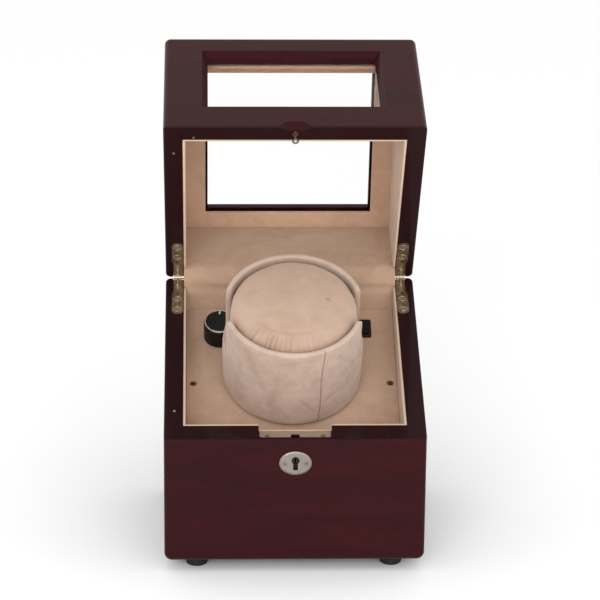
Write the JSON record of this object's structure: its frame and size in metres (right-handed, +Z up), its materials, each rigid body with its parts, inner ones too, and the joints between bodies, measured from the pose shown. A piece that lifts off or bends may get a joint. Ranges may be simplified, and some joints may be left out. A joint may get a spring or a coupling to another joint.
{
  "type": "watch winder box",
  "caption": "Hinged wooden box with glazed lid, sloping rim and suede lining; a motor turns a cup that holds a watch cushion on a tilted deck with knob and switch.",
  "frame": {"origin": "centre of the open box's footprint extent, on the surface that its feet stand on", "axes": "+Z up, -Y towards the front with the lock, +X to the user's right when facing the front from -Y"},
  "size_m": [0.165, 0.2082, 0.3079],
  "materials": {
    "mahogany": "dark mahogany veneer under gloss lacquer",
    "base_wood": "plain board, stained",
    "suede": "beige suede lining",
    "drum_suede": "beige suede",
    "cushion_suede": "beige suede over foam",
    "satin_nickel": "satin",
    "aged_brass": "aged, satin",
    "bright_steel": "bright",
    "black_gloss": "gloss",
    "black_matte": "matte",
    "chrome_ring": "polished",
    "rubber": "matte",
    "clear_glass": "clear",
    "nylon": "natural",
    "gear_plastic": "natural",
    "steel_plate": "zinc plated",
    "circuit": "green board",
    "cover_board": "black-brown hardboard"
  },
  "bodies": {
    "base": {"base_front_board": "mahogany", "base_rear_board": "mahogany", "base_left_board": "mahogany", "base_right_board": "mahogany", "base_bottom_board": "base_wood", "base_lining_front": "suede", "base_lining_rear": "suede", "base_side_linings": "suede", "deck": "suede", "deck_rails": "base_wood", "deck_screws": "bright_steel", "feet": "rubber", "access_cover": "cover_board", "underside_screws": "bright_steel", "escutcheon": "satin_nickel", "lock_screws": "satin_nickel", "lock_case": "steel_plate", "lock_plate": "satin_nickel", "base_hinge_leaves": "aged_brass", "hinge_pins": "aged_brass", "base_hinge_screws": "aged_brass", "base_rim_pin": "aged_brass", "hinge_flap": "suede", "selector_switch": "black_matte", "rocker_housing": "black_matte", "spindle_bush": "nylon", "drive_bracket": "steel_plate", "drive_screws": "bright_steel", "gearmotor": "steel_plate", "circuit_board": "circuit", "board_posts": "nylon", "dc_socket": "black_matte"},
    "lid": {"lid_front_board": "mahogany", "lid_rear_board": "mahogany", "lid_left_board": "mahogany", "lid_right_board": "mahogany", "lid_top_board": "mahogany", "lid_lining_front": "suede", "lid_lining_rear": "suede", "lid_lining_top": "suede", "lid_side_linings": "suede", "front_glass": "clear_glass", "top_glass": "clear_glass", "glazing_beads": "suede", "catch_eye": "aged_brass", "lid_hinge_leaves": "aged_brass", "lid_hinge_screws": "aged_brass", "lid_rim_pins": "aged_brass"},
    "drum": {"drum_cup": "drum_suede", "drum_floor": "drum_suede", "drum_spindle": "bright_steel", "drum_gear": "gear_plastic", "spindle_clip": "bright_steel"},
    "cushion": {"watch_cushion": "cushion_suede"},
    "pinion": {"motor_pinion": "gear_plastic"},
    "knob": {"selector_knob": "black_gloss", "knob_ring": "chrome_ring"},
    "rocker": {"rocker_cap": "black_gloss"},
    "lock_plug": {"lock_plug": "aged_brass"},
    "lock_bolt": {"lock_bolt": "steel_plate"}
  },
  "joints": [
    {"name": "lid_hinge", "type": "hinge", "parent": "base", "child": "lid", "pos_m": [0, 0.04625, 0.1493], "axis": [1, 0, 0], "range_deg": [0, 74.8], "deforming": ["hinge_flap"]},
    {"name": "drum_spin", "type": "hinge", "parent": "base", "child": "drum", "pos_m": [0, -0.01576, 0.1017], "axis": [0, -0.4741, 0.8805], "continuous": true},
    {"name": "pinion_spin", "type": "hinge", "parent": "base", "child": "pinion", "pos_m": [0, -0.04547, 0.0857], "axis": [0, -0.4741, 0.8805], "continuous": true},
    {"name": "cushion_lift", "type": "slide", "parent": "drum", "child": "cushion", "axis": [0, 0.4741, -0.8805], "range_m": [-0.07, 0]},
    {"name": "knob_turn", "type": "hinge", "parent": "base", "child": "knob", "pos_m": [-0.0468, 0.01445, 0.11796], "axis": [0, -0.4741, 0.8805], "range_deg": [-135, 135]},
    {"name": "rocker_tip", "type": "hinge", "parent": "base", "child": "rocker", "pos_m": [0.0485, 0.02017, 0.12104], "axis": [-1, 0, 0], "range_deg": [0, 14]},
    {"name": "lock_turn", "type": "hinge", "parent": "base", "child": "lock_plug", "pos_m": [0, -0.09673, 0.0762], "axis": [0, 1, 0], "range_deg": [0, 90]},
    {"name": "bolt_slide", "type": "slide", "parent": "base", "child": "lock_bolt", "axis": [0, 0.9295, 0.3687], "range_m": [0, 0.0018]}
  ],
  "couplings": [
    {"joint": "pinion_spin", "follows": "drum_spin", "ratio": -4},
    {"joint": "bolt_slide", "follows": "lock_turn", "m_per_rad": 0.0011459}
  ]
}
